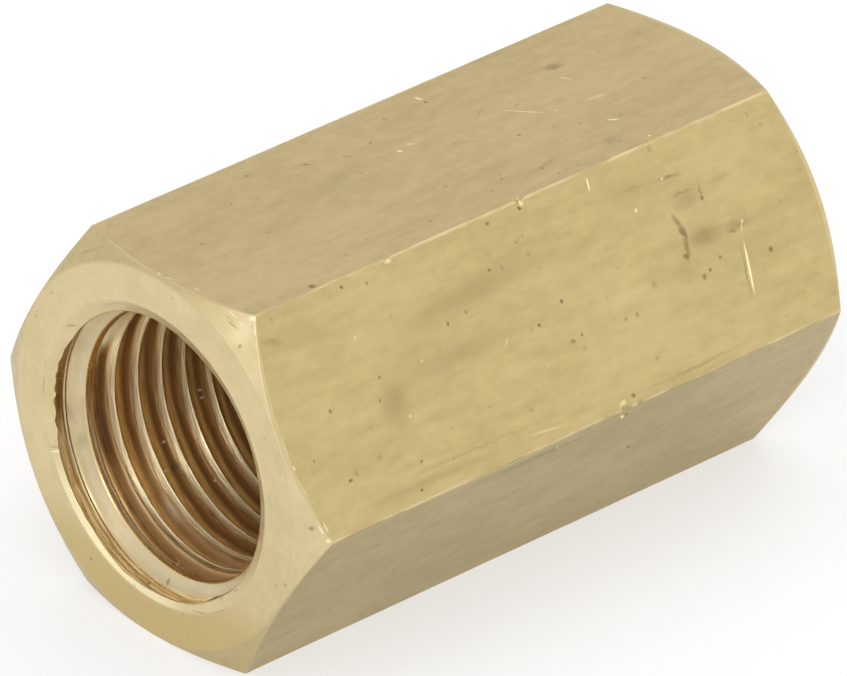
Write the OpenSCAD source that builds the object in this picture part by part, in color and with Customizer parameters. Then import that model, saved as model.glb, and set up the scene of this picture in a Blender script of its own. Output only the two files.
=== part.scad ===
// Brake line adapter: an inline coupler that joins two flared brake pipes.
// One piece, machined from hexagon brass bar. Both ends are faced and chamfered on the lathe,
// then drilled and tapped, and a small passage links the two blind ports.
// The bore axis is X, the bar lies on one of its flats, and the origin is at mid-length on the axis.

/* [Hexagon bar] */
// Wrench size, between two opposite flats
across_flats = 13; // [12.5:0.5:19]
// Overall length, from end face to end face
length = 23.5; // [22:0.5:40]
// Rounding that the drawn bar has along its six edges
edge_radius = 0.1; // [0.05:0.05:0.5]

/* [End chamfers] */
// Slope of the turned chamfer, measured from the end face
chamfer_angle = 30; // [15:5:45]
// How far the turned end face stops short of the flats
face_margin = 0.05; // [0.05:0.05:0.8]

/* [Threaded ports] */
// Nominal thread diameter of both ports
thread_diameter = 10; // [8:0.5:10.5]
// Thread pitch
thread_pitch = 1; // [0.5:0.25:1.5]
// Depth of the full tapping bore, from the end face
bore_depth = 9; // [6:0.5:10]
// Included angle of the countersink at the mouth
countersink_angle = 120; // [90:5:130]
// How far the countersink reaches outside the thread
countersink_margin = 0.2; // [0.05:0.05:0.5]

/* [Seats and passage] */
// Included angle of the drilled seat that the pipe flare closes on
seat_angle = 118; // [90:2:130]
// Diameter of the passage between the two seats
passage_diameter = 3.6; // [2:0.2:5]

/* [Hidden] */
$fn = 96;
brass = "#cbb67a";

// Bar
across_corners = across_flats / cos(30);
edge_arc_centre = across_corners / 2 - edge_radius / cos(30);

// Turned ends
face_radius = across_flats / 2 - face_margin;
blank_radius = across_corners / 2 + 1;
chamfer_length = (blank_radius - face_radius) * tan(chamfer_angle);

// An internal metric thread leaves its bore 1.0825 pitches under the nominal diameter.
THREAD_TO_BORE = 1.0825;
bore_radius = (thread_diameter - THREAD_TO_BORE * thread_pitch) / 2;
countersink_radius = thread_diameter / 2 + countersink_margin;
countersink_depth = (countersink_radius - bore_radius) / tan(countersink_angle / 2);
seat_depth = bore_radius / tan(seat_angle / 2);

// How far each cutting tool runs out past the end face
overrun = 1;

// Section of the drawn bar: a hexagon with rounded corners
module bar_section() {
    offset(r = edge_radius, $fn = 36) circle(r = edge_arc_centre, $fn = 6);
}

// Everything the lathe leaves standing: a round blank with a conical chamfer on both ends
module turned_blank() {
    rotate_extrude()
        polygon([
            [0, -length / 2],
            [face_radius, -length / 2],
            [blank_radius, chamfer_length - length / 2],
            [blank_radius, length / 2 - chamfer_length],
            [face_radius, length / 2],
            [0, length / 2],
        ]);
}

// Tool path of one port, entering the end face at z = 0 and cutting along +Z:
// countersink, tapping bore and the seat that the drill point leaves
module port_cutter() {
    rotate_extrude()
        polygon([
            [0, -overrun],
            [countersink_radius, -overrun],
            [countersink_radius, 0],
            [bore_radius, countersink_depth],
            [bore_radius, bore_depth],
            [0, bore_depth + seat_depth],
        ]);
}

// The coupler with its bore on Z
module machined_bar() {
    difference() {
        intersection() {
            // the bar is turned so that a flat faces -X, which becomes the top
            rotate(30) linear_extrude(height = length + 2 * overrun, center = true) bar_section();
            turned_blank();
        }
        for (flip = [0, 180]) rotate([flip, 0, 0]) translate([0, 0, -length / 2]) port_cutter();
        cylinder(d = passage_diameter, h = length, center = true);
    }
}

module coupler_body() {
    color(brass) rotate([0, 90, 0]) machined_bar();
}

coupler_body();
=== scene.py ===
import math

import bmesh
import bpy
import numpy as np
from mathutils import Matrix, Vector


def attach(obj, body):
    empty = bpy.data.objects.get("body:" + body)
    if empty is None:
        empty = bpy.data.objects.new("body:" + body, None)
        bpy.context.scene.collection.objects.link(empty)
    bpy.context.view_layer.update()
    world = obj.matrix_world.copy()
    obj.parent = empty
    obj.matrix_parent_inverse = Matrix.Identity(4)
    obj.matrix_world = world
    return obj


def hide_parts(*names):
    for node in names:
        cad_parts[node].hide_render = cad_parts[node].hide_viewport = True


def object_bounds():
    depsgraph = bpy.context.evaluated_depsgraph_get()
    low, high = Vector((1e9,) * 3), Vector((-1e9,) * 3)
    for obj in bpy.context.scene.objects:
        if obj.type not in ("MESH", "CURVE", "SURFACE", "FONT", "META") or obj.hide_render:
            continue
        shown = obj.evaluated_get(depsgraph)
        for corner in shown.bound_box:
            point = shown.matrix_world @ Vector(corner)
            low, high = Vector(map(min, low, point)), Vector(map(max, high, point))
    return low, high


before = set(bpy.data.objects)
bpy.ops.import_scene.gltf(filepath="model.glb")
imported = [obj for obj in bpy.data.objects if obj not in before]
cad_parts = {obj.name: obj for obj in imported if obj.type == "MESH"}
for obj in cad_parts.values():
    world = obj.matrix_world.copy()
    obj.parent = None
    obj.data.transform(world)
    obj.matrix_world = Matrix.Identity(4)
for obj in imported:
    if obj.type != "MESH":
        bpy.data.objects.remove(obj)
cad_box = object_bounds()

MM = 0.001


def span(axis):
    """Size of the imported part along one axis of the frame, in millimetres."""
    return round(float(cad_box[1][axis] - cad_box[0][axis]) / MM, 2)


# ---------------------------------------------------------------- measures, in millimetres
LENGTH = span(0)
ACROSS_FLATS = span(2)
CORNER_RADIUS = span(1) / 2
EDGE_RADIUS = 0.1
FACE_RADIUS = ACROSS_FLATS / 2 - 0.05
CHAMFER_SLOPE = math.tan(math.radians(30))      # depth per radius, from the end face
CHAMFER_STEEPER = 0.12                          # how much steeper the chamfer is at its steepest place
CHAMFER_TURN = 150                              # angle of that place, in degrees
RIM_ROUND = 0.06                                # round between the end face and the chamfer
BORDER_ROUND = 0.02                             # round between the chamfer and a flat
FACE_RINGS = (5.27, 5.5, 5.8, 6.1, 6.3)         # radii of the mesh rings across the end face
RUBBED = 0.12                                   # width of the bright strip at the middle of a flat's end
RUBBED_RADIUS = 7.3                             # the strip narrows to nothing out to this radius
PLAIN_FROM = 0.98                               # depth from which a flat has evenly spaced rings
PLAIN_RINGS = 16

PITCH = 1.0
THREAD_MAJOR = 5.0
THREAD_MINOR = THREAD_MAJOR - 1.0825 * PITCH / 2
FLANK = (THREAD_MAJOR - THREAD_MINOR) * math.tan(math.radians(30))
ROOT_FLAT = PITCH / 8
THREAD_ROUNDS = (0.03, 0.05, 0.17)              # rounds at a crest's deep edge and at both sides of a root
# Offsets of the points on the flank in front of a crest and on the crest, from the crest before
CREST_POINTS = (0.53, 0.58, 0.62, 0.645, 0.67, 0.69, 0.725, 0.765, 0.81, 0.855, 0.9, 0.935)
CREST_EDGE = 1.375                              # depth of a crest's deep edge at angle 0
TURNS = range(-3, 10)                           # turns of the thread, with some to spare at both ends
FADE_START = 7.2                                # the thread fades from this depth
THREAD_END = 8.65                               # to this one

# Worn crests: width, slope, and further slope at the deep edge, where metal is pushed over
CREST_LOWER = (0.34, 0.3, 0.7)
CREST_UPPER = (0.42, 0.5, 0.7)
CREST_TORN = (0.56, 0.85, 0.25)                 # the second crest on the upper side of the shown bore
CREST_ROUND = 0.04                              # size of the round at a worn crest's front edge
WEAR_START = 1.5                                # wear grows from this depth
WEAR_GROWTH = 0.6                               # over this much depth
LEAST_WEAR = 0.25                               # and is never less than this share

MOUTH_RADIUS = THREAD_MAJOR + 0.2
MOUTH_SLOPE = math.tan(math.radians(60))        # radius per depth
MOUTH_ROUND = 0.03                              # round between the countersink and the end face
BREAK_RADIUS = THREAD_MAJOR + 0.02              # the broken start of the thread is open to this radius
# Shape of the ridge along the torn step behind the lip: share of the step's length, share of the height
STEP_RIDGE = ((0.42, 0.0), (0.54, 0.6), (0.62, 1.0), (0.7, 0.5), (0.8, 0.0), (1.0, 0.0))
CLEAR = 0.004                                   # least depth between the mouth and the thread's first point
BORE_DEPTH = 9.0
SEAT_SLOPE = 1 / math.tan(math.radians(59))     # depth per radius
SEAT_RADII = (4.35, 3.8, 3.2, 2.6, 2.1, 1.86)
PASSAGE_RADIUS = 1.8

DRAWN, TURNED, TAPPED = 0, 1, 2                 # finishes, by material slot
SHOWN = {1: 3, 2: 4, 3: 5}                      # slot of each flat that shows, by its number round the bar

# Where the first, thin turn of the thread has broken away: angle, depth of the lip it leaves, how open
# the break is there (1 open, 0 whole), and how high a ridge is left on it.
LIP = np.array([
    (-180, 0.300, 0.0, 0.0),
    (-140, 0.185, 0.0, 0.0),
    (-125, 0.180, 0.0, 0.0),
    (-110, 0.135, 0.9, 0.6),
    (-92, 0.120, 1.0, 1.0),
    (-74, 0.080, 1.0, 1.0),
    (-55, 0.120, 1.0, 1.0),
    (-36, 0.118, 1.0, 0.8),
    (-24, 0.130, 1.0, 0.2),
    (-14, 0.180, 1.0, 0.0),
    (14, 0.195, 1.0, 0.0),
    (30, 0.258, 1.0, 0.0),
    (50, 0.268, 1.0, 0.0),
    (84, 0.262, 1.0, 0.0),
    (98, 0.320, 0.6, 0.0),
    (110, 0.400, 0.0, 0.0),
    (135, 0.400, 0.0, 0.0),
    (180, 0.300, 0.0, 0.0),
])

# Depth of the lip where the first turn is whole
WHOLE_LIP = np.array([(-180, 0.300), (-140, 0.185), (-125, 0.200), (10, 0.385), (135, 0.400), (180, 0.300)])

# Dents on the bar's edges: place along the bar, angle of the edge, half length and depth.
DENTS = [(0.22, 120, 0.13, 0.1), (-5.45, 120, 0.09, 0.05), (1.62, 180, 0.16, 0.14), (2.2, 180, 0.1, 0.06)]


# ---------------------------------------------------------------- the mesh
def wave(x, seed, terms=4):
    """A smooth random curve between about -1 and 1, the same on every run."""
    rng = np.random.default_rng(seed)
    rates = rng.uniform(0.6, 2.2, terms)
    starts = rng.uniform(0, 2 * math.pi, terms)
    total = sum(np.sin(2 * math.pi * rate * x + start) for rate, start in zip(rates, starts))
    return total / terms ** 0.5 / 1.4


def wrapped(angle):
    """An angle in degrees, from -180 to 180."""
    return (math.degrees(angle) + 180) % 360 - 180


def lip(angle, whole):
    """Depth of the mouth's lip at one angle, how open the break behind it is, and its ridge."""
    a = wrapped(angle)
    if whole:
        return float(np.interp(a, WHOLE_LIP[:, 0], WHOLE_LIP[:, 1])), 0.0, 0.0
    depth, opening, ridge = [float(np.interp(a, LIP[:, 0], LIP[:, i])) for i in (1, 2, 3)]
    ragged = math.exp(-((a - 2) / 20) ** 4)
    depth += 0.028 * ragged * wave(a / 9.0, 5) + 0.006 * opening * wave(a / 14.0, 8)
    return depth, opening, ridge * (0.8 + 0.3 * wave(a / 11.0, 21))


def column_table():
    """Angle and outer radius of every column of the mesh, in order round the axis."""
    half = ACROSS_FLATS / 2
    tangent = (half - EDGE_RADIUS) * math.tan(math.radians(30))
    centre = (half - EDGE_RADIUS) / math.cos(math.radians(30))
    # distances from the ends of a flat, closer together near the bar's edges
    inset = [0.04, 0.12, 0.25, 0.45, 0.75, 1.1, 1.5, 1.9, 2.3, 2.75, 3.2]
    across = [-tangent + i for i in inset] + [0.0] + [tangent - i for i in reversed(inset)]
    angle, radius = [], []
    for k in range(6):
        turn = math.radians(60 * k)
        for phi in np.radians(np.linspace(-30, 30, 7)):
            y, z = centre + EDGE_RADIUS * math.cos(phi), EDGE_RADIUS * math.sin(phi)
            angle.append(turn + math.atan2(z, y))
            radius.append(math.hypot(y, z))
        for s in across:
            angle.append(turn + math.radians(30) + math.atan2(s, half))
            radius.append(math.hypot(half, s))
    return np.array(angle), np.array(radius)


def fillet(before, corner, after, size, steps, share=0.35):
    """Points of a small round at a corner of a section, for every column at once."""
    def toward(p):
        v = p - corner
        n = np.linalg.norm(v, axis=1, keepdims=True)
        return v / n * np.minimum(size, share * n)
    a, b = corner + toward(before), corner + toward(after)
    return [(1 - w) ** 2 * a + 2 * w * (1 - w) * corner + w * w * b for w in np.linspace(0, 1, steps + 1)]


def thread_profile(width, wear, burr):
    """One pitch of the thread from a crest's deep edge: offsets, sharp radii, and radii of the worn form."""
    root = FLANK + ROOT_FLAT
    slope = (THREAD_MAJOR - THREAD_MINOR) / FLANK
    corners = [(-PITCH / 4, THREAD_MINOR), (0.0, THREAD_MINOR), (FLANK, THREAD_MAJOR)]
    corners += [(root, THREAD_MAJOR), (root + FLANK, THREAD_MINOR)]
    corners = [np.array([corner]) for corner in corners]
    points = [(FLANK / 2, (THREAD_MAJOR + THREAD_MINOR) / 2)]
    for i, (size, steps) in enumerate(zip(THREAD_ROUNDS, (2, 2, 4))):
        rounded = fillet(corners[i], corners[i + 1], corners[i + 2], size, steps, 0.45)
        points += [tuple(point[0]) for point in rounded]
    for d in CREST_POINTS:
        points.append((d, max(THREAD_MAJOR - slope * (d - root), THREAD_MINOR)))
    points = np.array(points)
    points[:, 0] %= PITCH
    points = points[np.argsort(points[:, 0])]
    offsets, sharp = points[:, 0], points[:, 1]
    across = np.clip(1 - (PITCH - offsets) / width, 0, 1)
    crown = THREAD_MINOR + width * (wear * (1 - across) + burr * (1 - across ** 4) / 4)
    over = crown - sharp
    worn = np.minimum(sharp + (over + np.sqrt(over ** 2 + CREST_ROUND ** 2)) / 2, THREAD_MAJOR)
    return offsets, sharp, np.where(offsets > PITCH / 2, worn, sharp)


class Shell:
    """Collects the vertices and faces of the one piece."""

    def __init__(self):
        self.points, self.faces, self.finish = [], [], []

    def add(self, x, angle, radius):
        """Number of a new vertex."""
        self.points.append((x, radius * math.cos(angle), radius * math.sin(angle)))
        return len(self.points) - 1

    def face(self, corners, finish):
        """A face, without the corners that fall together."""
        unique = [c for i, c in enumerate(corners) if c != corners[i - 1]]
        if len(unique) > 2:
            self.faces.append(unique)
            self.finish.append(finish)

    def strips(self, rings, finishes):
        """Quads between closed rings of vertex numbers."""
        for a, b, finish in zip(rings[:-1], rings[1:], finishes):
            for j in range(len(a)):
                k = (j + 1) % len(a)
                self.face([a[j], a[k], b[k], b[j]], finish)


def end_rows(angle, radius):
    """Depth and radius of every column at each row of one end, from the mouth out to the flats."""
    n = len(angle)

    def column(d, r):
        return np.stack([np.broadcast_to(d, n), np.broadcast_to(r, n)], axis=1).astype(float)

    steeper = CHAMFER_STEEPER * (0.5 + 0.5 * np.cos(angle - math.radians(CHAMFER_TURN)))
    chamfer_end = (radius - FACE_RADIUS) * (CHAMFER_SLOPE + steeper)
    rubbed_end = chamfer_end + 0.05 + RUBBED * np.clip((RUBBED_RADIUS - radius) / 0.8, 0, 1)
    inside = column(0.15, MOUTH_RADIUS - 0.15 * MOUTH_SLOPE)
    brink, rim = column(0, MOUTH_RADIUS), column(0, FACE_RADIUS)
    border, middle = column(chamfer_end, radius), column(LENGTH / 2, radius)
    rim_round = fillet(brink, rim, border, RIM_ROUND, 3)
    border_round = fillet(rim, border, middle, BORDER_ROUND, 4)
    start, end = rim_round[-1], border_round[0]
    turned_rows = fillet(inside, brink, rim, MOUTH_ROUND, 3)
    turned_rows += [column(0, r) for r in FACE_RINGS] + rim_round
    turned_rows += [start + (end - start) * share for share in (0.08, 0.36, 0.64, 0.92)] + border_round
    drawn_rows = [column(rubbed_end, radius), column(rubbed_end + 0.08, radius)]
    return turned_rows + drawn_rows, [TURNED] * len(turned_rows) + [DRAWN] * len(drawn_rows)


def outer_rings(shell, angle, radius):
    """End faces, chamfers and flats, from the near mouth round the outside to the far mouth."""
    near_rows, near_finish = end_rows(angle, radius)
    plain = np.linspace(PLAIN_FROM, LENGTH - PLAIN_FROM, PLAIN_RINGS)
    close = [np.linspace(x - 2 * half, x + 2 * half, 9) + LENGTH / 2 for x, edge, half, deep in DENTS]
    depths = np.unique(np.round(np.concatenate([plain] + close), 2))
    flat_rows = [np.stack([np.full(len(angle), d), radius], axis=1) for d in depths]
    far_rows = [row * (-1, 1) + (LENGTH, 0) for row in reversed(near_rows)]
    rings = []
    for row in near_rows + flat_rows + far_rows:
        x = row[:, 0] - LENGTH / 2
        r = row[:, 1].copy()
        for place, edge, half, deep in DENTS:
            aside = ((angle - math.radians(edge) + math.pi) % (2 * math.pi) - math.pi) * ACROSS_FLATS / 2
            r -= deep * np.exp(-((x - place) / half) ** 4 - (aside / (0.9 * half)) ** 2)
        rings.append([shell.add(*point) for point in zip(x, angle, r)])
    shell.strips(rings, near_finish + [DRAWN] * len(flat_rows) + near_finish[-2::-1])
    return rings[0], rings[-1]


def mouth_section(angle, whole):
    """Countersink, lip and the torn step behind it at one angle, and the depth where the step ends."""
    depth, opening, ridge = lip(angle, whole)
    shut = 1 - opening
    edge = MOUTH_RADIUS - depth * MOUTH_SLOPE
    open_radius = edge + (BREAK_RADIUS - edge) * opening
    crest_edge = CREST_EDGE - PITCH + PITCH * wrapped(angle) / 360
    back = depth + 0.02 + (max(crest_edge + 0.3, depth + 0.12) - depth) * opening
    # down the countersink to the lip
    points = [(d, MOUTH_RADIUS - MOUTH_SLOPE * d) for d in (0.3 * depth, 0.62 * depth, depth - 0.014)]
    # over its edge, and out to the step where the thread's start is broken
    points.append((depth, edge + 0.004))
    points.append((depth + 0.006 + 0.012 * opening, edge + 0.016 * opening - 0.008 * shut))
    points.append((depth + 0.012 + 0.03 * opening, edge + (open_radius - edge) * 0.75 - 0.012 * shut))
    points.append((depth + 0.012 + 0.075 * opening, open_radius - 0.016 * shut))
    # along the step
    step_length = back - depth - 0.02
    for share, rise in STEP_RIDGE:
        points.append((depth + 0.02 + share * step_length, open_radius - 0.026 * shut - 0.035 * ridge * rise))
    return points, back


def mouth(shell, add, angle, start_ring, whole):
    """The mouth of a port. Returns its last ring, and the depth and radius where each column ends."""
    sections = [mouth_section(a, whole) for a in angle]
    rings = [start_ring]
    for i in range(len(sections[0][0])):
        rings.append([add(j, *points[i]) for j, (points, back) in enumerate(sections)])
    shell.strips(rings, [TURNED] * 4 + [TAPPED] * (len(rings) - 5))
    return rings[-1], [(back, points[-1][1]) for points, back in sections]


def thread_column(angle, profiles, whole):
    """The full thread at one angle: numbers, depths and radii of its points."""
    offsets, sharp, lower, upper, torn = profiles
    turns = np.repeat(TURNS, len(offsets))
    steps = np.tile(np.arange(len(offsets)), len(TURNS))
    depths = CREST_EDGE + PITCH * angle / (2 * math.pi) + turns * PITCH + offsets[steps]
    wear = np.clip((depths - WEAR_START) / WEAR_GROWTH, LEAST_WEAR, 1)
    # 0 below the axis, 1 from 26 degrees above it
    above_axis = min(max(2.3 * math.sin(angle) - 0.02, 0), 1)
    worn = lower + (upper - lower) * above_axis
    radii = sharp[steps] + (worn[steps] - sharp[steps]) * wear
    if not whole:
        radii += (torn[steps] - radii) * (turns == 0) * above_axis
    fade = np.clip((THREAD_END - depths) / (THREAD_END - FADE_START), 0, 1)
    return turns * len(offsets) + steps, depths, THREAD_MINOR + (radii - THREAD_MINOR) * fade


def lace(shell, a_top, a, b_top, b):
    """Faces between two neighbouring columns of the thread, each a top and numbered vertices below it."""
    first, last = max(min(a), min(b)), min(max(a), max(b))
    for k in range(min(a), first):
        shell.face([b_top, a[k], a[k + 1]], TAPPED)
    for k in range(min(b), first):
        shell.face([a_top, b[k], b[k + 1]], TAPPED)
    if min(a) < first:
        shell.face([a_top, b_top, a[min(a)]], TAPPED)
        shell.face([b_top, b[first], a[first]], TAPPED)
    elif min(b) < first:
        shell.face([a_top, b_top, b[min(b)]], TAPPED)
        shell.face([a_top, b[first], a[first]], TAPPED)
    else:
        shell.face([a_top, b_top, b[first], a[first]], TAPPED)
    for k in range(first, last):
        shell.face([a[k], b[k], b[k + 1], a[k + 1]], TAPPED)
    a_tail = [a[k] for k in range(last, max(a) + 1)]
    b_tail = [b[k] for k in range(last, max(b) + 1)]
    for p, q in zip(a_tail[:-1], a_tail[1:]):
        shell.face([p, b_tail[0], q], TAPPED)
    for p, q in zip(b_tail[:-1], b_tail[1:]):
        shell.face([a_tail[-1], p, q], TAPPED)
    return a_tail[-1], b_tail[-1]


def thread(shell, add, angle, mouth_ring, shoulders, whole):
    """The thread, as sheared columns that start where the mouth ends and run to THREAD_END."""
    n = len(angle)
    offsets, sharp, lower = thread_profile(*CREST_LOWER)
    upper = thread_profile(*CREST_UPPER)[2]
    torn = thread_profile(*CREST_TORN)[2]
    columns = []
    for j, (back, back_radius) in enumerate(shoulders):
        numbers, depths, radii = thread_column(angle[j], (offsets, sharp, lower, upper, torn), whole)
        above = radii - (back_radius - MOUTH_SLOPE * (depths - back))
        last_below = np.nonzero((above < 0) | (depths < back + CLEAR))[0].max()
        first = last_below + 1
        share = above[last_below] / (above[last_below] - above[first]) if above[last_below] < 0 else 0.0
        d = max(depths[last_below] + (depths[first] - depths[last_below]) * share, back + CLEAR)
        top = add(j, d, back_radius - MOUTH_SLOPE * (d - back))
        column = {}
        for number, d, r in zip(numbers[first:], depths[first:], radii[first:]):
            if d < THREAD_END - 0.02:
                column[int(number)] = add(j, d, r)
        columns.append((top, column))
    end = [add(j, THREAD_END, THREAD_MINOR) for j in range(n)]
    for j in range(n):
        following = (j + 1) % n
        a_top, a = columns[j]
        b_top, b = columns[following]
        if following == 0:
            # one turn further round, the same place on the thread is a pitch deeper
            b = {number - len(offsets): vertex for number, vertex in b.items()}
        shell.face([mouth_ring[j], mouth_ring[following], b_top, a_top], TAPPED)
        a_last, b_last = lace(shell, a_top, a, b_top, b)
        shell.face([a_last, b_last, end[following], end[j]], TAPPED)
    return end


def seat(shell, add, thread_end):
    """Plain bore, drilled seat and the start of the passage."""
    rows = [(BORE_DEPTH - 0.06, THREAD_MINOR), (BORE_DEPTH + 0.01, THREAD_MINOR - 0.02)]
    rows += [(BORE_DEPTH + (THREAD_MINOR - r) * SEAT_SLOPE, r) for r in SEAT_RADII]
    passage = BORE_DEPTH + (THREAD_MINOR - PASSAGE_RADIUS) * SEAT_SLOPE
    rows += [(passage + 0.05, PASSAGE_RADIUS), (passage + 0.4, PASSAGE_RADIUS)]
    rings = [thread_end] + [[add(j, d, r) for j in range(len(thread_end))] for d, r in rows]
    shell.strips(rings, [TAPPED] * len(rows))
    return rings[-1]


def port(shell, angle, start_ring, far):
    """One port, from its mouth to the passage. angle runs with the thread. The far port is the near one
    turned half round, and its first turns are whole."""
    def add(j, d, r):
        if far:
            return shell.add(LENGTH / 2 - d, math.pi - angle[j], r)
        return shell.add(d - LENGTH / 2, angle[j], r)

    mouth_ring, shoulders = mouth(shell, add, angle, start_ring, far)
    thread_end = thread(shell, add, angle, mouth_ring, shoulders, far)
    return seat(shell, add, thread_end)


def build_coupler():
    """The mesh of the coupler, with a finish for each face."""
    angle, radius = column_table()
    shell = Shell()
    near_mouth, far_mouth = outer_rings(shell, angle, radius)
    near_seat = port(shell, angle, near_mouth, far=False)
    # the far port is the near one turned half round Z, so its columns run the other way
    turned_angle = (math.pi - angle) % (2 * math.pi)
    order = [int(np.argmin(np.abs((turned_angle - a + math.pi) % (2 * math.pi) - math.pi))) for a in angle]
    far_seat = port(shell, angle, [far_mouth[i] for i in order], far=True)
    far_passage = [0] * len(angle)
    for j, i in enumerate(order):
        far_passage[i] = far_seat[j]
    shell.strips([near_seat, far_passage], [TAPPED])
    mesh = bpy.data.meshes.new("coupler")
    mesh.from_pydata([(x * MM, y * MM, z * MM) for x, y, z in shell.points], [], shell.faces)
    for polygon, finish in zip(mesh.polygons, shell.finish):
        turn = math.degrees(math.atan2(polygon.center.z, polygon.center.y)) % 360
        polygon.material_index = SHOWN.get(int(turn // 60), DRAWN) if finish == DRAWN else finish
    bm = bmesh.new()
    bm.from_mesh(mesh)
    bmesh.ops.recalc_face_normals(bm, faces=bm.faces)
    open_edges = sum(1 for e in bm.edges if not e.is_manifold)
    bm.to_mesh(mesh)
    bm.free()
    mesh.shade_smooth()
    triangles = sum(len(p.vertices) - 2 for p in mesh.polygons)
    print("coupler:", len(mesh.vertices), "vertices", triangles, "triangles", open_edges, "open edges")
    return mesh


coupler = bpy.data.objects.new("coupler", build_coupler())
bpy.context.scene.collection.objects.link(coupler)


# ---------------------------------------------------------------- materials
class Tree:
    """Short names for building one material's nodes."""

    def __init__(self, name):
        """A metal, until its shader is taken away."""
        self.material = bpy.data.materials.new(name)
        self.material.use_nodes = True
        self.nodes, self.links = self.material.node_tree.nodes, self.material.node_tree.links
        self.shader = self.nodes["Principled BSDF"]
        self.shader.inputs["Metallic"].default_value = 1.0

    def node(self, kind, inputs, **settings):
        """A new node. Each input is a number to set or an output to link."""
        new = self.nodes.new(kind)
        for key, value in settings.items():
            setattr(new, key, value)
        for key, value in inputs.items():
            if isinstance(value, bpy.types.NodeSocket):
                self.links.new(value, new.inputs[key])
            else:
                new.inputs[key].default_value = value
        return new

    def math(self, operation, *values):
        return self.node("ShaderNodeMath", dict(enumerate(values)), operation=operation).outputs[0]

    def vector(self, operation, *values, out=0):
        return self.node("ShaderNodeVectorMath", dict(enumerate(values)), operation=operation).outputs[out]

    def join(self, x, y, z=0.0):
        return self.node("ShaderNodeCombineXYZ", {0: x, 1: y, 2: z}).outputs[0]

    def noise(self, at, scale, detail=2.0, roughness=0.5):
        inputs = {"Vector": at, "Scale": scale, "Detail": detail, "Roughness": roughness}
        return self.node("ShaderNodeTexNoise", inputs).outputs[0]

    def ramp(self, value, low, high, to_low=0.0, to_high=1.0, smooth=True):
        """Takes low to to_low and high to to_high, and stays level outside them."""
        inputs = {0: value, 1: low, 2: high, 3: to_low, 4: to_high}
        shape = "SMOOTHSTEP" if smooth else "LINEAR"
        return self.node("ShaderNodeMapRange", inputs, interpolation_type=shape).outputs[0]

    def mix(self, amount, a, b):
        """Colour a where amount is 0, and b where it is 1."""
        a = a if isinstance(a, bpy.types.NodeSocket) else (*a, 1)
        b = b if isinstance(b, bpy.types.NodeSocket) else (*b, 1)
        return self.node("ShaderNodeMix", {0: amount, 6: a, 7: b}, data_type="RGBA").outputs[2]

    def position(self):
        """Place on the part in millimetres, and angle and radius round its axis."""
        coordinates = self.nodes.new("ShaderNodeTexCoord").outputs["Object"]
        self.at = self.vector("MULTIPLY", coordinates, (1000, 1000, 1000))
        split = self.node("ShaderNodeSeparateXYZ", {0: self.at})
        self.x, self.y, self.z = split.outputs
        self.angle = self.math("ARCTAN2", self.z, self.y)
        self.radius = self.vector("LENGTH", self.join(0.0, self.y, self.z), out=1)

    def marks(self, at, marks):
        """Soft elongated spots: centre, half length, half width, turn, strength and softness."""
        total = None
        for u, v, long, wide, turn, strength, soft in marks:
            inputs = {"Vector": at, "Location": (u, v, 0), "Rotation": (0, 0, math.radians(turn))}
            inputs["Scale"] = (long, wide, 1)
            place = self.node("ShaderNodeMapping", inputs, vector_type="TEXTURE").outputs[0]
            mask = self.ramp(self.vector("LENGTH", place, out=1), 1.0, 1.0 - soft, 0.0, strength)
            total = mask if total is None else self.math("MAXIMUM", total, mask)
        return total

    def finish(self, color, roughness, height, depth):
        """The material, with a bump of the given depth in millimetres."""
        bump = self.node("ShaderNodeBump", {"Height": height, "Distance": depth * MM, "Strength": 1.0})
        self.links.new(color, self.shader.inputs["Base Color"])
        self.links.new(roughness, self.shader.inputs["Roughness"])
        self.links.new(bump.outputs[0], self.shader.inputs["Normal"])
        return self.material


def stroke(u0, v0, u1, v1, width, strength, soft=0.6):
    """A mark drawn from one place to another."""
    return ((u0 + u1) / 2, (v0 + v1) / 2, math.hypot(u1 - u0, v1 - v0) / 2, width / 2,
            math.degrees(math.atan2(v1 - v0, u1 - u0)), strength, soft)


def spot(u, v, size, strength, soft=0.7, long=1.0, turn=0.0):
    """A mark at one place, drawn out by long in the direction of turn."""
    return (u, v, size * long, size, turn, strength, soft)


# Marks on the three flats that show, as places along the bar and across the flat from its middle.
TOP_DARK = [
    spot(6.84, -1.78, 0.27, 0.6, 0.8, 1.6, 15),
    spot(8.59, 0.65, 0.07, 0.7),
    spot(-5.35, -2.9, 0.08, 0.7, 0.7, 1.6, 10),
    spot(-4.1, -1.85, 0.06, 0.6),
    spot(0.65, 2.45, 0.07, 0.6),
    spot(2.1, 2.75, 0.09, 0.7),
    spot(2.32, 3.35, 0.06, 0.6),
    spot(-2.9, 2.95, 0.08, 0.7),
    spot(-8.45, 3.55, 0.12, 1.0, 0.5, 1.4),
    spot(4.48, -1.64, 0.06, 0.7),
    spot(3.0, 0.74, 0.07, 0.7),
    spot(5.0, 1.43, 0.07, 0.6),
    spot(2.16, -2.72, 0.09, 0.9),
    spot(5.0, 2.9, 0.4, 0.3, 1, 1.5, 10),
    spot(-10.4, 0.1, 0.6, 0.15, 1),
    spot(-9.3, -0.6, 0.09, 0.6, 0.8, 1.6, 30),
    spot(-0.95, -1.95, 0.07, 0.5, 0.7, 1.8),
    spot(-6.9, -1.9, 0.06, 0.5),
    stroke(-3.55, -2.38, -3.3, -2.1, 0.1, 0.8),
    stroke(-2.3, -1.95, -1.9, -1.6, 0.12, 0.4),
    stroke(-5.25, -0.25, -1.0, -1.75, 1.1, 0.14, 1),
    stroke(1.6, 2.9, 3.4, 2.3, 0.35, 0.2, 1),
    stroke(2.4, -0.7, 3.6, -1.5, 0.2, 0.25, 1),
]
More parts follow.
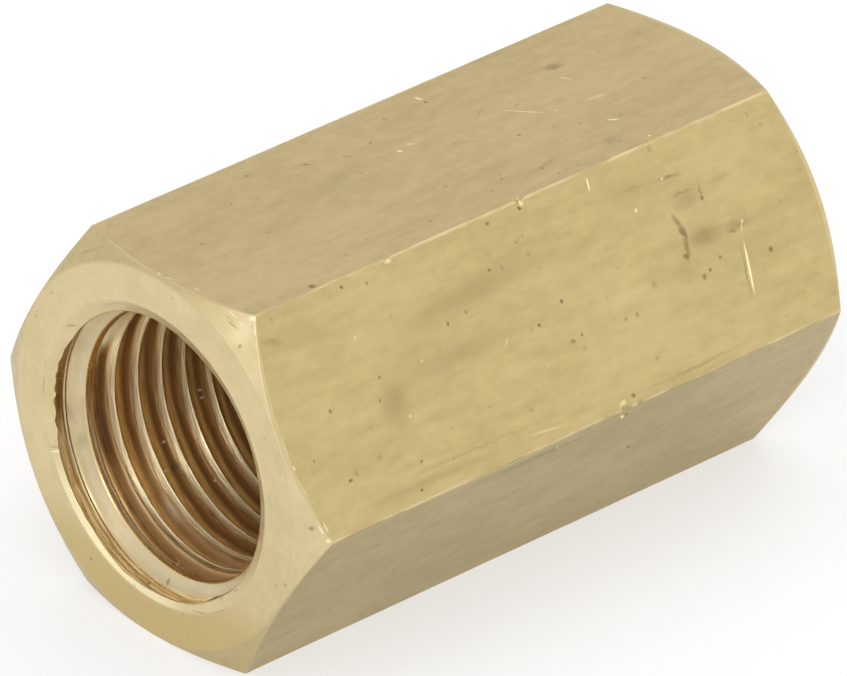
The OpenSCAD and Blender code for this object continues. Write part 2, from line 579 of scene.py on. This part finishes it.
# Bright scratches, and painted highlights along the border with the end
TOP_SCRATCHES_AND_GLINTS = [
    stroke(5.74, 1.8, 6.17, 2.09, 0.08, 1.0),
    stroke(3.53, -0.91, 4.76, 0.38, 0.06, 0.7),
    stroke(1.27, -0.38, 2.04, 0.27, 0.05, 0.4),
    stroke(4.25, -0.75, 4.6, -1.6, 0.04, 0.25),
    stroke(2.08, -3.25, 2.22, -2.85, 0.1, 1.0),
    stroke(6.03, 0.44, 7.16, 0.63, 0.25, 0.3, 1),
    stroke(6.5, -1.22, 6.78, -0.78, 0.07, 0.7),
    stroke(-0.2, -1.2, 0.12, -0.93, 0.07, 0.7),
    spot(-0.6, -0.94, 0.08, 0.8, 0.6, 1.6, 40),
    spot(5.0, 0.35, 0.06, 0.6),
    spot(6.12, 3.45, 0.07, 0.8),
    spot(-11.57, -0.12, 0.11, 0.8, 0.6),
    stroke(-11.53, 0.1, -11.44, 0.5, 0.07, 0.6),
    stroke(-11.3, 1.2, -11.25, 1.5, 0.07, 0.5),
]
NEAR_DARK = [
    stroke(5.4, -2.55, 6.85, -2.41, 0.22, 0.5, 0.9),
    stroke(3.6, -2.7, 5.6, -2.5, 0.2, 0.25, 1),
    stroke(5.7, -1.87, 7.2, -1.84, 0.22, 0.5, 0.9),
    stroke(7.1, -1.84, 8.9, -1.8, 0.3, 0.25, 1),
    stroke(7.23, -2.1, 7.07, -1.3, 0.18, 0.5, 0.9),
    spot(7.1, -1.45, 0.12, 0.7),
    stroke(5.78, -1.35, 7.1, -1.36, 0.16, 0.3, 1),
    stroke(5.5, -1.62, 7.5, -1.6, 1.0, 0.28, 1),
    stroke(5.7, -1.45, 6.0, -0.75, 0.26, 0.6, 0.9),
    stroke(5.9, -1.1, 6.05, -0.3, 0.36, 0.85, 0.9),
    stroke(6.03, -0.75, 5.82, 0.35, 0.38, 0.75, 0.9),
    spot(5.78, 0.1, 0.19, 0.85, 0.9, 1.2),
    stroke(5.7, -0.3, 7.8, -0.25, 1.05, 0.5, 1),
    stroke(7.2, -0.3, 9.0, -0.1, 0.55, 0.36, 1),
    stroke(7.65, -0.13, 8.1, -0.02, 0.14, 0.5),
    stroke(4.9, 0.4, 6.2, 0.5, 1.4, 0.15, 1),
    stroke(4.22, 0.25, 4.15, 0.7, 0.3, 0.35, 0.9),
    spot(3.16, 1.14, 0.13, 0.5, 0.9),
    spot(2.69, 1.11, 0.1, 0.4, 0.9, 1.4),
    spot(9.1, 0.96, 0.15, 0.9, 0.8),
    spot(7.05, 0.57, 0.09, 0.7, 0.7, 1.4),
    spot(6.24, 0.9, 0.14, 0.85, 0.8),
    spot(6.51, 0.79, 0.1, 0.7),
    stroke(8.0, 0.2, 7.75, 2.3, 0.08, 0.4),
    stroke(-7.4, 1.5, -6.5, -0.5, 1.8, 0.36, 1),
    stroke(-7.2, 0.0, -1.0, -0.2, 1.3, 0.26, 1),
    stroke(-8.0, -1.5, 2.6, -1.8, 1.3, 0.22, 1),
    stroke(-10.9, 3.15, -2.6, 3.3, 0.5, 0.25, 1),
    stroke(-9.0, 2.8, 0.8, 3.0, 0.14, 0.2, 1),
    spot(0.47, -0.27, 0.1, 1.0),
    spot(-6.75, 2.53, 0.09, 0.7),
    spot(-7.11, 3.37, 0.09, 0.9),
    spot(-7.22, -0.39, 0.08, 0.7),
    spot(-7.49, 0.25, 0.08, 0.7),
    spot(-9.47, -0.05, 0.09, 0.7),
    spot(0.83, 1.0, 0.08, 0.7),
    spot(-10.66, 1.14, 0.08, 0.5),
    stroke(2.2, 3.45, 7.5, 3.4, 0.2, 0.3, 1),
    spot(-9.55, 2.2, 0.1, 0.8),
    spot(-6.55, -3.27, 0.07, 0.7),
    spot(-7.5, -3.5, 0.08, 0.8),
    spot(-1.84, -2.1, 0.09, 0.8),
    spot(-3.22, -1.18, 0.09, 0.7),
    spot(-4.04, -1.06, 0.1, 0.8),
    spot(-0.64, 0.19, 0.1, 0.8),
    spot(-0.48, -2.56, 0.07, 0.7),
    spot(-1.33, -3.46, 0.09, 0.8),
    spot(0.1, -3.5, 0.11, 1.0),
    spot(0.43, 1.08, 0.1, 0.6, 0.7, 1.6),
    spot(1.98, 3.42, 0.12, 0.9),
    spot(-11.2, 3.1, 0.1, 0.8),
    spot(-5.5, 2.9, 0.07, 0.5),
    spot(-8.2, 0.9, 0.06, 0.5),
    stroke(-11.3, -3.0, -10.2, -2.6, 0.35, 0.3, 1),
]
# Bright scratches, and painted highlights along the border with the end and on the rims of the nicks
NEAR_SCRATCHES_AND_GLINTS = [
    stroke(8.2, 0.2, 7.88, 2.3, 0.12, 1.0, 0.5),
    stroke(8.36, -0.3, 8.2, 0.15, 0.07, 0.6),
    stroke(2.99, -3.6, 2.94, -3.02, 0.1, 0.9),
    spot(4.45, -1.93, 0.09, 0.7),
    spot(5.84, -2.51, 0.07, 0.6),
    spot(8.37, -0.23, 0.08, 0.6),
    spot(-6.58, 1.1, 0.08, 0.45),
    stroke(-11.57, -0.65, -11.54, -0.2, 0.08, 0.8, 0.6),
    stroke(-11.54, 0.0, -11.52, 0.9, 0.05, 0.5),
    spot(-11.5, 1.1, 0.1, 0.9),
    stroke(-11.44, 1.5, -11.32, 2.2, 0.05, 0.4),
    stroke(-11.1, 2.95, -11.0, 3.45, 0.08, 0.7),
    stroke(-3.6, 1.1, -0.4, 1.2, 0.6, 0.12, 1),
    stroke(1.2, 0.4, 4.6, 0.5, 0.9, 0.12, 1),
    spot(-9.9, -1.9, 0.5, 0.1, 1, 1.5),
    stroke(-2.6, 3.21, -0.83, 3.4, 0.09, 0.3),
    stroke(-1.97, 0.05, -2.2, 0.4, 0.08, 0.3),
    spot(-5.46, -0.33, 0.07, 0.35),
    spot(-7.64, -1.86, 0.07, 0.35),
    spot(0.2, -3.62, 0.16, 0.7, 0.8),
    spot(-5.47, -3.65, 0.1, 0.7, 0.7, 2.0),
    stroke(1.3, 3.6, 1.75, 3.5, 0.3, 0.8, 0.8),
]
LOW_DARK = [
    spot(3.3, -0.53, 0.11, 0.9),
    spot(-6.2, 0.8, 0.08, 0.6),
    spot(-2.5, 0.0, 0.07, 0.5),
    spot(6.4, -1.6, 0.08, 0.5),
    spot(1.75, -3.35, 0.09, 0.9),
    stroke(-5.75, -3.3, 2.25, -3.05, 0.3, 0.4, 1),
    spot(0.6, 1.3, 0.06, 0.4),
    spot(-8.3, -1.1, 0.07, 0.5),
]
# Bright scratches, and a painted highlight along one edge and on a nick's rim
LOW_SCRATCHES_AND_GLINTS = [
    spot(-2.45, -0.8, 0.09, 0.25),
    stroke(-1.2, -3.35, -1.1, -3.05, 0.06, 0.7),
    stroke(1.45, -3.5, 1.75, -3.1, 0.16, 0.9),
    stroke(-6.5, -3.6, 0.5, -3.55, 0.12, 0.5, 1),
]

# Marks on the shown end, as places on the end face or on its chamfer, seen along the bar.
END_DARK = [
    spot(2.85, -5.07, 0.09, 0.7),
    spot(-6.19, -1.82, 0.08, 0.6),
    spot(-5.78, -2.0, 0.07, 0.5),
    spot(-0.7, -6.65, 0.12, 0.9),
    stroke(4.3, 2.82, 3.85, 2.98, 0.1, 0.7),
    spot(3.24, 3.41, 0.1, 0.9),
    stroke(5.17, 0.85, 5.24, -0.3, 0.05, 0.6),
    stroke(5.1, 1.3, 5.18, 0.7, 0.05, 0.35),
    stroke(4.95, -1.88, 4.45, -1.75, 0.06, 0.7),
    stroke(-1.75, -4.83, -2.75, -4.5, 0.06, 0.6),
    stroke(-2.7, -4.52, -3.7, -3.85, 0.05, 0.5),
    stroke(-3.0, -3.9, -3.2, -3.65, 0.12, 0.9),
    stroke(-3.6, -3.35, -3.95, -3.05, 0.08, 0.7),
    stroke(-2.9, 6.2, -3.55, 6.0, 0.05, 0.8),
    stroke(-2.75, 6.35, -3.4, 6.1, 0.04, 0.5),
    stroke(-3.7, 6.3, -4.02, 6.05, 0.05, 0.8),
    spot(-3.69, 5.61, 0.08, 0.9),
    spot(-6.95, 0.45, 0.11, 0.8),
    stroke(4.29, 5.25, 2.5, 6.5, 0.16, 0.35, 1),
    spot(2.4, 6.6, 0.12, 0.6),
    stroke(3.0, 4.1, 1.3, 5.0, 0.16, 0.3, 1),
]
# Bright scratches, and painted highlights at the corners of the end
END_SCRATCHES_AND_GLINTS = [
    spot(-3.72, 6.42, 0.12, 0.9, 0.9, 1.5, 0),
    stroke(-3.3, 6.28, -3.7, 6.05, 0.05, 0.5),
    stroke(-2.85, 6.45, -3.3, 6.3, 0.05, 0.5),
    stroke(-3.8, 6.3, -4.05, 5.95, 0.06, 0.7),
    spot(-3.6, 6.0, 0.5, 0.3, 1, 1.4, -60),
    stroke(-7.1, 0.62, -7.3, 0.25, 0.08, 0.9),
    spot(-7.4, 0.08, 0.1, 0.8),
    stroke(4.95, -2.05, 4.3, -1.85, 0.08, 0.9),
]

# Marks in the shown bore, as places along the arc of the crests, up from the +Y side, and in depth.
BORE_DARK = [
    spot(-3.58, 3.9, 0.15, 1.0, 0.7, 1.3, 20),
    stroke(-3.7, 3.95, -4.1, 4.0, 0.14, 0.7),
    stroke(0.5, 0.42, -0.1, 0.6, 0.16, 0.5, 1),
    stroke(-0.3, 0.7, -1.2, 0.85, 0.25, 0.45, 1),
    stroke(-1.3, 0.95, -2.1, 0.9, 0.3, 0.35, 1),
    spot(-6.6, 0.3, 0.1, 0.7),
    spot(-7.06, 0.66, 0.09, 0.7),
    spot(-6.85, 0.5, 0.06, 0.5),
    stroke(-0.4, 1.8, -2.8, 1.8, 0.5, 0.5, 1),
]
# Painted highlights and glints in the bore
BORE_GLINTS = [
    spot(-3.54, 3.68, 0.06, 0.9),
    stroke(-4.05, 2.88, -5.5, 2.8, 0.4, 0.4, 0.8),
    stroke(-3.9, 2.45, -5.3, 2.35, 0.06, 0.5),
    stroke(-5.2, 1.6, -6.3, 1.5, 0.05, 0.5),
    spot(-6.48, 1.64, 0.08, 1.0),
    spot(-2.75, 3.9, 0.06, 0.7),
    spot(-1.75, 5.9, 0.06, 0.8),
    spot(-2.0, 5.9, 0.06, 0.7),
    spot(-4.5, 4.9, 0.06, 0.7),
    stroke(-4.3, 3.75, -5.1, 3.7, 0.05, 0.6),
    stroke(-4.1, 2.65, -5.0, 2.6, 0.05, 0.6),
]


# Brass of the bar: darker and lighter side of its streaks
DRAWN_DEEP = (0.465, 0.366, 0.178)
DRAWN_LIGHT = (0.575, 0.458, 0.232)
RAGGED = 0.22                                   # how far the outline of a stain wanders, in millimetres


def drawn(name, shade_tint=(1.0, 1.0, 1.0), turn=0, darks=(), lights=()):
    """Satin flat of drawn bar: lengthwise streaks, faint clouds, small pits, and a painted highlight along
    its edges.
    Its tint is painted light and shade. A flat that faces turn degrees round the bar can have the marks of
    handling, with painted highlights among the bright ones."""
    t = Tree(name)
    t.position()
    streaks = t.noise(t.vector("MULTIPLY", t.at, (0.16, 1.0, 1.0)), 2.4, 4.0, 0.6)
    mottle = t.noise(t.vector("MULTIPLY", t.at, (0.6, 1.0, 1.0)), 2.6, 4.0, 0.65)
    grain = t.noise(t.vector("MULTIPLY", t.at, (0.45, 1.0, 1.0)), 13.0, 3.0, 0.65)
    clouds = t.noise(t.vector("MULTIPLY", t.at, (0.45, 1.0, 1.0)), 0.42, 3.0, 0.6)
    pits = t.ramp(t.noise(t.at, 3.4, 0.0), 0.78, 0.86)
    tone = t.math("ADD", t.math("MULTIPLY", streaks, 0.3), t.math("MULTIPLY", mottle, 0.35))
    tone = t.math("ADD", tone, t.math("MULTIPLY", clouds, 0.35))
    # painted light and shade: each shown flat's own tint, the low flat's darker and greyer
    deep = tuple(c * k for c, k in zip(DRAWN_DEEP, shade_tint))
    light = tuple(c * k for c, k in zip(DRAWN_LIGHT, shade_tint))
    color = t.mix(t.ramp(tone, 0.36, 0.64), deep, light)
    color = t.mix(t.ramp(grain, 0.3, 0.75, 0.0, 0.3), color, tuple(c * 1.09 for c in light))
    color = t.mix(t.math("MULTIPLY", t.ramp(clouds, 0.5, 0.62), 0.12), color, (0.56, 0.42, 0.26))
    color = t.mix(t.math("MULTIPLY", pits, 0.25), color, (0.2, 0.15, 0.06))
    roughness = t.ramp(grain, 0.3, 0.7, 0.34, 0.46)
    if darks:
        facing = math.radians(turn)
        across_y = t.math("MULTIPLY", t.y, -math.sin(facing))
        across = t.math("ADD", across_y, t.math("MULTIPLY", t.z, math.cos(facing)))
        sharp = t.join(t.x, across)
        jitter = t.node("ShaderNodeTexNoise", {"Vector": t.at, "Scale": 3.2, "Detail": 3.0}).outputs[1]
        ragged = t.vector("SUBTRACT", sharp, (RAGGED / 2, RAGGED / 2, 0.0))
        ragged = t.vector("MULTIPLY_ADD", jitter, (RAGGED, RAGGED, 0.0), ragged)
        stain = t.math("MULTIPLY", t.marks(ragged, darks), t.ramp(mottle, 0.35, 0.65, 0.6, 1.0))
        color = t.mix(t.math("MINIMUM", stain, 0.8), color, (0.17, 0.125, 0.052))
        # bright scratches, and painted highlights on edges and nicks
        color = t.mix(t.marks(sharp, lights), color, (0.95, 0.82, 0.5))
        roughness = t.math("ADD", roughness, t.math("MULTIPLY", stain, 0.15))
    # painted highlight along the bar's edges, broken up by the streaks
    edge = t.ramp(t.radius, CORNER_RADIUS - 0.025, CORNER_RADIUS - 0.005)
    color = t.mix(t.math("MULTIPLY", edge, t.ramp(streaks, 0.4, 0.6, 0.1, 0.7)), color, (0.80, 0.66, 0.38))
    roughness = t.math("MULTIPLY_ADD", edge, 0.12, roughness)
    height = t.math("ADD", t.math("MULTIPLY", grain, 0.6), t.math("MULTIPLY", mottle, 0.8))
    return t.finish(color, roughness, height, 0.004)


def turned():
    """End faces and chamfers: fine rings from the lathe, a chamfer darkened as painted shade, painted shade
    low down, a painted highlight on the mouth's lower side, scratches.
    """
    t = Tree("brass_turned")
    t.position()
    rings = t.noise(t.join(t.radius, t.x, t.math("MULTIPLY", t.angle, 0.12)), 14.0, 3.0, 0.6)
    clouds = t.noise(t.at, 0.8, 3.0, 0.55)
    mottle = t.noise(t.at, 3.0, 4.0, 0.65)
    grain = t.noise(t.at, 13.0, 3.0, 0.6)
    tone = t.math("ADD", t.math("MULTIPLY", rings, 0.2), t.math("MULTIPLY", clouds, 0.4))
    tone = t.math("ADD", tone, t.math("MULTIPLY", mottle, 0.4))
    color = t.mix(t.ramp(tone, 0.36, 0.64), (0.625, 0.512, 0.275), (0.72, 0.60, 0.345))
    color = t.mix(t.ramp(grain, 0.3, 0.75, 0.0, 0.25), color, (0.74, 0.63, 0.40))
    place = t.join(t.y, t.z)
    # painted shade low on the face: darker and yellower towards the bottom, kept off the countersink
    low = t.math("ADD", t.ramp(t.z, -2.2, -5.8), t.math("MULTIPLY", t.math("SUBTRACT", clouds, 0.5), 0.5))
    low = t.ramp(low, 0.1, 0.9)
    low = t.math("MULTIPLY", low, t.ramp(t.radius, MOUTH_RADIUS - 0.05, MOUTH_RADIUS + 0.15))
    color = t.mix(low, color, (0.60, 0.472, 0.225))
    # painted highlight on the lower side of the mouth's countersink
    below = t.math("DIVIDE", t.vector("DOT_PRODUCT", place, (0.42, -0.91, 0.0), out=1), t.radius)
    mouth_highlight = t.ramp(t.radius, MOUTH_RADIUS + 0.02, MOUTH_RADIUS - 0.03)
    mouth_highlight = t.math("MULTIPLY", mouth_highlight, t.ramp(below, 0.7, 0.9))
    color = t.mix(mouth_highlight, color, (0.84, 0.74, 0.45))
    # painted shade: the chamfer is darker, except near its steepest place
    aside = t.math("DIVIDE", t.vector("DOT_PRODUCT", place, (-0.94, 0.342, 0.0), out=1), t.radius)
    chamfer_shade = t.ramp(aside, 0.88, 0.35)
    chamfer_shade = t.math("MULTIPLY", chamfer_shade, t.ramp(t.radius, FACE_RADIUS - 0.05, FACE_RADIUS + 0.07))
    color = t.mix(t.math("MULTIPLY", chamfer_shade, t.ramp(mottle, 0.3, 0.6, 0.75, 1.0)), color, (0.535, 0.435, 0.22))
    pits = t.ramp(t.noise(t.at, 4.2, 0.0), 0.81, 0.86)
    color = t.mix(t.math("MULTIPLY", pits, 0.4), color, (0.3, 0.21, 0.09))
    # the strip rubbed bright past the chamfer's border
    depth = t.math("SUBTRACT", LENGTH / 2, t.math("ABSOLUTE", t.x))
    border = t.math("SUBTRACT", t.radius, FACE_RADIUS)
    border = t.math("MULTIPLY", border, CHAMFER_SLOPE + CHAMFER_STEEPER)
    past = t.math("SUBTRACT", depth, border)
    rubbed = t.ramp(t.radius, FACE_RADIUS - 0.05, FACE_RADIUS)
    rubbed = t.math("MULTIPLY", rubbed, t.ramp(past, 0.004, 0.02, 0.0, 0.9))
    color = t.mix(rubbed, color, (0.60, 0.48, 0.25))
    # marks of the shown end: stains and scratches, and painted highlights at its corners
    shown = t.math("LESS_THAN", t.x, 0.0)
    dark = t.math("MULTIPLY", t.marks(place, END_DARK), shown)
    color = t.mix(t.math("MULTIPLY", dark, 0.65), color, (0.2, 0.13, 0.05))
    color = t.mix(t.math("MULTIPLY", t.marks(place, END_SCRATCHES_AND_GLINTS), shown), color, (0.95, 0.85, 0.56))
    roughness = t.ramp(mottle, 0.3, 0.7, 0.32, 0.44)
    height = t.math("ADD", t.math("MULTIPLY", rings, 0.35), t.math("MULTIPLY", grain, 0.4))
    return t.finish(color, roughness, height, 0.004)


def tapped():
    """Tapped bore: lines of the tap along the helix, brown grooves, partly painted shade, and crests worn
    bright on their deep side, with painted highlights and glints. The first turn and the step behind the lip
    are clean and golden."""
    t = Tree("brass_tapped")
    t.position()
    helix = t.math("SUBTRACT", t.x, t.math("MULTIPLY", t.angle, PITCH / (2 * math.pi)))
    end = t.math("SIGN", t.x)
    # phase runs from 0 to 1 down each pitch, and a crest ends where it is 1
    phase = t.math("MULTIPLY_ADD", end, 0.25, 0.625)
    phase = t.math("FRACT", t.math("SUBTRACT", phase, t.math("MULTIPLY", end, helix)))
    depth = t.math("SUBTRACT", LENGTH / 2, t.math("ABSOLUTE", t.x))
    lines = t.noise(t.join(t.radius, helix, t.math("MULTIPLY", t.angle, 0.35)), 12.0, 4.0, 0.65)
    patches = t.noise(t.at, 0.9, 3.0, 0.6)
    grain = t.noise(t.at, 7.0, 3.0, 0.6)
    groove = t.ramp(t.radius, 4.45, THREAD_MAJOR, smooth=False)
    groove = t.math("ADD", groove, t.math("MULTIPLY", t.math("SUBTRACT", patches, 0.5), 0.8))
    color = t.mix(t.ramp(groove, 0.1, 0.9), (0.62, 0.53, 0.34), (0.56, 0.44, 0.25))
    # brown oxide deeper in the bore, partly painted shade; the brown starts deeper on the upper side
    clean = t.math("MULTIPLY_ADD", t.z, 0.04, t.ramp(t.z, -0.5, 2.2, 0.0, 1.2))
    inside = t.ramp(t.math("SUBTRACT", depth, clean), 0.95, 1.45)
    brown = t.mix(t.ramp(patches, 0.35, 0.65), (0.39, 0.20, 0.062), (0.57, 0.33, 0.125))
    # painted light: a lighter golden brown low in the bore, less deep in
    lit = t.math("MULTIPLY", t.ramp(t.z, -2.0, -3.6), t.ramp(depth, 3.8, 2.6, 0.0, 0.6))
    brown = t.mix(lit, brown, (0.74, 0.51, 0.25))
    color = t.mix(inside, color, brown)
    # the torn step behind the lip, more streaky on its lower side
    step = t.math("MULTIPLY", t.ramp(t.radius, 4.86, 4.93), t.ramp(depth, 0.62, 0.5))
    torn = t.mix(t.ramp(lines, 0.35, 0.65), (0.60, 0.40, 0.16), (0.92, 0.70, 0.38))
    low = t.ramp(t.z, -0.4, -1.6)
    low_share = t.math("MULTIPLY", low, 0.7)
    streaky = t.mix(t.ramp(lines, 0.4, 0.6), (0.63, 0.42, 0.155), (0.98, 0.80, 0.44))
    torn = t.mix(low_share, torn, streaky)
    color = t.mix(step, color, torn)
    color = t.mix(t.ramp(lines, 0.45, 0.75, 0.0, 0.35), color, (0.74, 0.62, 0.40))
    # painted shade on the flank in front of a crest, and a painted golden reflection on the first crest
    flank_shade = t.math("MULTIPLY", t.ramp(phase, 0.5, 0.58), t.ramp(phase, 0.76, 0.66))
    flank_shade = t.math("MULTIPLY", inside, flank_shade)
    first_turn = t.ramp(depth, 1.6, 1.4)
    # painted reflection: golden on the first crest
    first_crest_reflection = t.math("MULTIPLY", t.ramp(phase, 0.70, 0.78), t.ramp(t.radius, 4.56, 4.5))
    first_crest_reflection = t.math("MULTIPLY", first_turn, first_crest_reflection)
    color = t.mix(t.math("MULTIPLY", first_crest_reflection, 0.8), color, (0.88, 0.60, 0.25))
    color = t.mix(t.math("MULTIPLY", flank_shade, t.math("SUBTRACT", 1.0, lit)), color, (0.27, 0.132, 0.040))
    # painted golden sheen in the roots, strongest on the lower side
    further_in = t.ramp(depth, 1.9, 2.5, 0.3, 1.0)
    root = t.math("MULTIPLY", t.ramp(t.radius, 4.76, 4.93), t.ramp(t.z, 1.5, -1.0, 0.4, 1.0))
    root = t.math("MULTIPLY", inside, t.math("MULTIPLY", further_in, root))
    root_share = t.math("MULTIPLY", root, 0.85)
    root_sheen = t.mix(t.ramp(lines, 0.35, 0.65), (0.70, 0.43, 0.11), (0.92, 0.62, 0.22))
    color = t.mix(root_share, color, root_sheen)
    # crests, bright where they are worn and with a painted highlight, paler on the upper side
    crest = t.math("MULTIPLY", t.ramp(t.radius, 4.68, 4.6), inside)
    start = t.ramp(depth, 2.3, 3.3, 0.62, 0.66)
    bright = t.math("MULTIPLY", crest, t.ramp(t.math("SUBTRACT", phase, start), 0.0, 0.24))
    pale = t.mix(t.ramp(t.z, -1.0, 2.0), (0.64, 0.50, 0.29), (0.96, 0.83, 0.54))
    pale = t.mix(t.ramp(lines, 0.35, 0.65, 0.0, 0.4), pale, (1.0, 0.87, 0.55))
    color = t.mix(bright, color, pale)
    # marks of the shown bore: dark stains, and painted highlights and glints
    place = t.join(t.math("MULTIPLY", t.angle, THREAD_MINOR), depth)
    shown = t.math("LESS_THAN", t.x, 0.0)
    dark = t.marks(place, BORE_DARK)
    dark = t.math("MULTIPLY", dark, t.math("MULTIPLY", shown, 0.75))
    color = t.mix(dark, color, (0.13, 0.10, 0.07))
    light = t.marks(place, BORE_GLINTS)
    light = t.math("MULTIPLY", light, t.math("MULTIPLY", shown, 0.65))
    color = t.mix(light, color, (1.0, 0.88, 0.66))
    # painted highlight on the crests' deep edges, the brightest part of the bore
    rim = t.math("MULTIPLY", crest, t.ramp(phase, 0.93, 0.97))
    color = t.mix(t.math("MULTIPLY", rim, 0.7), color, (1.0, 0.9, 0.66))
    rough = t.math("MAXIMUM", root, t.math("MULTIPLY", step, low))
    rough = t.math("MULTIPLY", t.math("MAXIMUM", flank_shade, rough), 0.4)
    rough = t.math("MULTIPLY_ADD", bright, 0.1, rough)
    roughness = t.math("ADD", t.ramp(patches, 0.3, 0.7, 0.24, 0.38), rough)
    cut = t.math("MULTIPLY", lines, t.math("MULTIPLY_ADD", bright, 1.6, 0.6))
    height = t.math("ADD", cut, t.math("MULTIPLY", grain, 0.2))
    return t.finish(color, roughness, height, 0.012)


# in the order of DRAWN, TURNED, TAPPED and the slots in SHOWN
materials = [
    drawn("brass_drawn"),
    turned(),
    tapped(),
    # the shown flats are lit and shaded copies, their tints painted light and shade
    drawn("brass_top", (1.0, 0.985, 0.98), 90, TOP_DARK, TOP_SCRATCHES_AND_GLINTS),
    drawn("brass_side", (1.0, 1.0, 0.93), 150, NEAR_DARK, NEAR_SCRATCHES_AND_GLINTS),
    drawn("brass_low_shaded", (0.87, 0.87, 0.83), 210, LOW_DARK, LOW_SCRATCHES_AND_GLINTS),
]
for material in materials:
    coupler.data.materials.append(material)
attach(coupler, "root")
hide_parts("coupler_body")


# ---------------------------------------------------------------- floor
FLOOR_HALF = 0.6                                # metres
floor_corners = [(x * FLOOR_HALF, y * FLOOR_HALF, 0) for x, y in ((-1, -1), (1, -1), (1, 1), (-1, 1))]
floor_mesh = bpy.data.meshes.new("floor")
floor_mesh.from_pydata(floor_corners, [], [(0, 1, 2, 3)])
floor = bpy.data.objects.new("floor", floor_mesh)
floor.location = (0, 0, -ACROSS_FLATS / 2 * MM)
bpy.context.scene.collection.objects.link(floor)
# to the camera and in the metal, half of the paper glows, so that it looks white
paper = Tree("floor_white")
paper.nodes.remove(paper.shader)
path = paper.nodes.new("ShaderNodeLightPath")
seen = paper.math("MAXIMUM", path.outputs["Is Camera Ray"], path.outputs["Is Glossy Ray"])
seen = paper.math("MAXIMUM", seen, path.outputs["Is Transmission Ray"])
plain = paper.node("ShaderNodeBsdfDiffuse", {"Color": (0.96, 0.96, 0.96, 1)})
white = paper.node("ShaderNodeEmission", {"Strength": 1.0})
share = paper.math("MULTIPLY", seen, 0.5)
surface = paper.node("ShaderNodeMixShader", {0: share, 1: plain.outputs[0], 2: white.outputs[0]})
paper.links.new(surface.outputs[0], paper.nodes["Material Output"].inputs[0])
floor_mesh.materials.append(paper.material)


# ---------------------------------------------------------------- light
LAMP_DISTANCE = 0.5                             # metres


def soft_box(name, direction, size, radiance):
    """A square lamp that faces the part, with its brightness given as seen from the part."""
    data = bpy.data.lights.new(name, "AREA")
    data.shape = "SQUARE"
    data.size = size
    data.energy = radiance * math.pi * size * size
    lamp = bpy.data.objects.new(name, data)
    direction = Vector(direction).normalized()
    lamp.location = direction * LAMP_DISTANCE
    lamp.rotation_euler = direction.to_track_quat("Z", "Y").to_euler()
    bpy.context.scene.collection.objects.link(lamp)


world = bpy.data.worlds.new("studio")
bpy.context.scene.world = world
world.use_nodes = True
background = world.node_tree.nodes["Background"]
background.inputs["Color"].default_value = (1, 1, 1, 1)
background.inputs["Strength"].default_value = 1.0
soft_box("lamp_over", (0.45, -0.1, 0.9), 0.16, 1.4)
soft_box("lamp_side", (0.59, -0.8, 0.25), 0.35, 0.2)
soft_box("lamp_front", (-0.95, 0.18, 0.3), 0.2, 0.4)
soft_box("lamp_view", (-0.62, -0.5, 0.6), 0.16, 5.0)


# ---------------------------------------------------------------- camera
LENS = 549.878                                  # focal length, for a sensor 36 mm wide
DISTANCE = 411.963                              # from AIM, in millimetres
AZIMUTH = 46.4185                               # direction of view from +X, in degrees
ELEVATION = -30.4152
ROLL = 1.6402
AIM = (-0.1676, 0.0619, -0.1205)                # millimetres

camera_data = bpy.data.cameras.new("camera")
camera_data.lens = LENS
camera_data.sensor_width = 36.0
camera_data.clip_start = 0.01
camera_data.clip_end = 10.0
camera = bpy.data.objects.new("camera", camera_data)
bpy.context.scene.collection.objects.link(camera)
turn, lift, roll = math.radians(AZIMUTH), math.radians(ELEVATION), math.radians(ROLL)
forward = Vector((math.cos(lift) * math.cos(turn), math.cos(lift) * math.sin(turn), math.sin(lift)))
level = forward.cross(Vector((0, 0, 1))).normalized()
upright = level.cross(forward)
right = level * math.cos(roll) + upright * math.sin(roll)
up = right.cross(forward)
place = Vector(AIM) * MM - forward * DISTANCE * MM
camera.matrix_world = Matrix.Translation(place) @ Matrix((right, up, -forward)).transposed().to_4x4()
bpy.context.scene.camera = camera

bpy.context.scene.view_settings.view_transform = "Standard"
